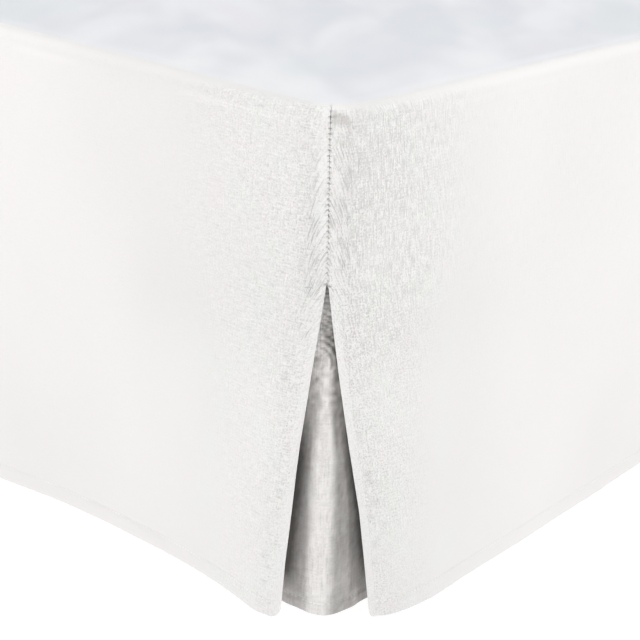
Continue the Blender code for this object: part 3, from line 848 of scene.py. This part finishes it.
def layDeck():
    # rows from the foot to the head, columns from side to side, round the foot corners
    inset = panel["seamInset"] + panel["gap"]
    halfWidth = bed["width"] / 2 - inset
    corner = bed["corner"] - inset
    rounded = corner * (1 - np.cos(np.linspace(0, math.pi / 2, 14)))
    far = steps(panel["sideEnd"] - inset - corner, 2.5 * mm, 1.06, 22 * mm)
    fromFoot = np.concatenate([rounded[:-1], corner + far])[:, None]
    narrowing = corner - np.sqrt(corner**2 - np.clip(corner - fromFoot, 0, corner) ** 2)
    rim = steps(halfWidth, 2.0 * mm, 1.07, 20 * mm) / halfWidth
    across = np.concatenate([-(1 - rim), (1 - rim)[-2::-1]])
    x = (halfWidth - narrowing) * across
    y = inset - bed["length"] / 2 + fromFoot + bed["middleY"]
    x, y = np.broadcast_arrays(x, y)
    fromSeam = np.minimum(halfWidth - narrowing - np.abs(x), fromFoot)
    up = bed["top"] + panel["deckLift"] + panel["seamRise"] * (1 - ease(fromSeam / deckCloth["riseWidth"]))
    nearRim = 1 - ease((fromSeam - 10 * mm) / deckCloth["puffReach"])
    soft = 0.5 + 0.5 * uneven(x / (42 * mm), y / (38 * mm), 41)
    gentle = 0.5 + 0.5 * uneven(x / (120 * mm), y / (150 * mm), 42)
    up += deckCloth["puffs"] * soft * nearRim * ease(fromSeam / (8 * mm))
    up += deckCloth["waves"] * gentle * ease(fromSeam / (20 * mm))
    points = np.stack([x, y, up], axis=-1)
    cloth = np.stack([x + 7.1, y + 2.3], axis=-1)
    # painted highlight: paler at the rim and on the puffs
    deckHighlight = deckCloth["rimHighlight"] * (1 - ease(fromSeam / deckCloth["rimBand"]))
    deckHighlight += deckCloth["puffHighlight"] * soft * nearRim
    for fromSide, foot in deckCloth["spots"]:
        dx, dy = halfWidth - fromSide * mm - np.abs(x), fromFoot - foot * mm
        spot = hump((dx + dy) * 0.707, 0, deckCloth["spotAlong"]) * hump((dx - dy) * 0.707, 0, deckCloth["spotAcross"])
        deckHighlight += 0.5 * spot
    fields = {"deckHighlight": np.clip(deckHighlight, 0, 1)}
    return addCloth("deck_cloth", points, cloth, fields, deckCloth["thickness"], paleDeckCloth, flip=True)


deck = layDeck()
print("deck laid")


# The box spring's cover

spring = {
    # border in section, in mm: (out from the side, up from the bottom), with a taped edge at each end
    "profile": ((-40, 0), (-5.5, 0), (-2.0, 1.0), (-0.2, 3.0), (0.6, 5.6), (0.0, 8.2), (-1.0, 9.4), (-0.7, 14),
                (-0.1, 40), (0.3, 75), (0.5, 115), (0.3, 155), (-0.1, 190), (-0.7, 215), (-1.0, 219.6), (0.0, 220.8),
                (0.6, 223.4), (-0.2, 226), (-2.0, 228), (-5.5, 229), (-40, 229)),
    "around": 480, "wrinkles": 0.35 * mm,
}


def coverBoxSpring():
    # a rounded rectangle in plan swept through the border's profile
    halfX, halfY, corner = bed["width"] / 2, bed["length"] / 2, bed["corner"]
    turns = (np.linspace(0, math.pi / 2, 9) + np.arange(4)[:, None] * math.pi / 2).ravel()
    facing = np.stack([np.cos(turns), np.sin(turns)], axis=-1)
    centres = np.array([(1, 1), (-1, 1), (-1, -1), (1, -1)]) * (halfX - corner, halfY - corner)
    plan = np.repeat(centres, 9, axis=0) + corner * facing
    length = np.linalg.norm(np.diff(np.concatenate([plan, plan[:1]]), axis=0), axis=1)
    length = np.concatenate([[0], np.cumsum(length)])
    evenly = np.linspace(0, length[-1], spring["around"], endpoint=False)
    around = np.unique(np.concatenate([length[:-1], evenly]))

    def spread(values):
        # from the corners' points to all the places round the border
        return np.stack([np.interp(around, length, np.append(values[:, k], values[0, k])) for k in (0, 1)], axis=-1)

    plan, facing = spread(plan), unit(spread(facing))
    section = np.array(spring["profile"]) * mm
    out, up = section[:, :1], section[:, 1:]
    wrinkles = spring["wrinkles"] * uneven(around[None, :] / (60 * mm), up / (90 * mm), 51) * hump(up, 0.115, 0.09)
    points = np.empty((len(section), len(around), 3))
    points[..., :2] = plan[None] + facing[None] * (out + wrinkles)[..., None]
    points[..., 1] += bed["middleY"]
    points[..., 2] = bed["top"] - bed["depth"] + up
    index = gridIndex(*points.shape[:2], closed=True)
    caps = [index[-1, :-1].tolist(), index[0, :-1][::-1].tolist()]
    return addMesh("box_spring_cover", points, gridFaces(index).tolist() + caps, coverCloth)


springCover = coverBoxSpring()
print("box spring covered")

for start, way, axis in (("side_rail", "lengthwise", 1), ("cross_rail", "crosswise", 0), ("leg_", "upright", 2)):
    wood = woodMaterial(f"plain wood {way}", axis)
    for name, node in nodes.items():
        if name.startswith(start):
            for slot in node.material_slots:
                slot.material = wood
print("rails and legs finished")


# What each piece stands for

for piece, node, slot in ((footPanel, "foot_panel", "white_cloth"),
                          (sidePanelRight, "side_panel_right", "white_cloth"),
                          (sidePanelLeft, "side_panel_left", "white_cloth"),
                          (underlayRight, "pleat_underlay_right", "white_cloth"),
                          (underlayLeft, "pleat_underlay_left", "white_cloth"),
                          (deck, "deck", "deck_cloth"), (springCover, "box_spring", "spring_cover")):
    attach(piece, "root")
    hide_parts(node)
for piece in (stitchesRight, stitchesLeft):
    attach(piece, "root")


# Floor, light and camera

studio = {
    "floor": (0.15, 0.15, 0.15), "floorGlow": 0.95, "floorReach": 30, "surround": 0.06, "away": 3.2,
    "wallHeight": 22, "wallSides": 64,
    # soft round lights: (heading from +X towards +Y and height, in degrees, size in metres, watts, aim)
    "lights": ((18, 12, 1.0, 33.4, (0.76, -1.0, 0.2)), (20, 60, 1.0, 13, (0.76, -1.0, 0.2)),
               (-120, 12, 1.0, 39, (0.76, -1.0, 0.2)), (-95, 60, 1.0, 7, (0.76, -1.0, 0.2)),
               (-45, 12, 1.0, 13, (0.76, -1.0, 0.2)),
               (-45, 89, 2.5, 68, (0.4, -0.6, 0.38)),
               (150, 15, 1.4, 47, (-0.76, 0.3, 0.2)), (80, 25, 1.4, 45, (0.0, 1.0, 0.2))),
}


def turnTo(item, right, up, back, place):
    # the item's own X, Y and Z along three directions, and its place
    item.matrix_world = Matrix([[right[i], up[i], back[i], place[i]] for i in range(3)] + [[0, 0, 0, 1]])


def setStudio():
    made, tree, shader = startMaterial("pale floor", 0.9, 0.1)
    shader.inputs["Base Color"].default_value = (*studio["floor"], 1)
    shader.inputs["Emission Color"].default_value = (1, 1, 1, 1)
    shader.inputs["Emission Strength"].default_value = studio["floorGlow"]
    reach, sides = studio["floorReach"], studio["wallSides"]
    corners = np.array([(-reach, -reach, 0), (reach, -reach, 0), (reach, reach, 0), (-reach, reach, 0)])
    addMesh("studio_floor", corners, [(0, 1, 2, 3)], made, smooth=False)

    # a pale wall far away, which lights nothing, so that low views end in the same white
    around = np.linspace(0, math.tau, sides, endpoint=False)
    ring = np.stack([np.cos(around), np.sin(around)], axis=-1) * (reach - 1)
    points = np.stack([np.column_stack([ring, np.full(sides, up)]) for up in (-0.01, studio["wallHeight"])])
    faces = gridFaces(gridIndex(2, sides, closed=True), flip=True)
    wall = addMesh("studio_wall", points, faces.tolist(), made, smooth=False)
    wall.visible_diffuse = wall.visible_glossy = wall.visible_transmission = wall.visible_shadow = False

    for number, (heading, height, size, watts, aim) in enumerate(studio["lights"]):
        lamp = bpy.data.lights.new(f"soft light {number + 1}", "AREA")
        withSettings(lamp, shape="DISK", size=size, energy=watts)
        heading, height = math.radians(heading), math.radians(height)
        back = np.array([math.cos(heading) * math.cos(height), math.sin(heading) * math.cos(height), math.sin(height)])
        side = unit(np.cross((0, 0, 1), back))
        turnTo(addObject(lamp.name, lamp), side, np.cross(back, side), back, np.array(aim) + studio["away"] * back)

    world = bpy.data.worlds.new("pale surround")
    scene.world = world
    world.use_nodes = True
    world.node_tree.nodes["Background"].inputs[0].default_value = (1, 1, 1, 1)
    world.node_tree.nodes["Background"].inputs[1].default_value = studio["surround"]
    scene.view_settings.view_transform = "Standard"


view = {"place": (1.487, -1.780, 0.646), "yaw": -43.3, "down": 21, "roll": 1.5, "lens": 95.625}


def setCamera():
    # looks along the heading "yaw" from +Y, tipped down, then rolled about its own line of sight
    yaw, down, roll = (math.radians(view[k]) for k in ("yaw", "down", "roll"))
    ahead = np.array([math.sin(yaw) * math.cos(down), math.cos(yaw) * math.cos(down), -math.sin(down)])
    right = np.array([math.cos(yaw), -math.sin(yaw), 0])
    up = np.cross(right, ahead)
    right, up = math.cos(roll) * right + math.sin(roll) * up, -math.sin(roll) * right + math.cos(roll) * up
    lens = withSettings(bpy.data.cameras.new("camera"), lens=view["lens"], sensor_width=36, clip_start=0.01)
    scene.camera = addObject("camera", lens)
    turnTo(scene.camera, right, up, -ahead, view["place"])


setStudio()
setCamera()
print("studio set")
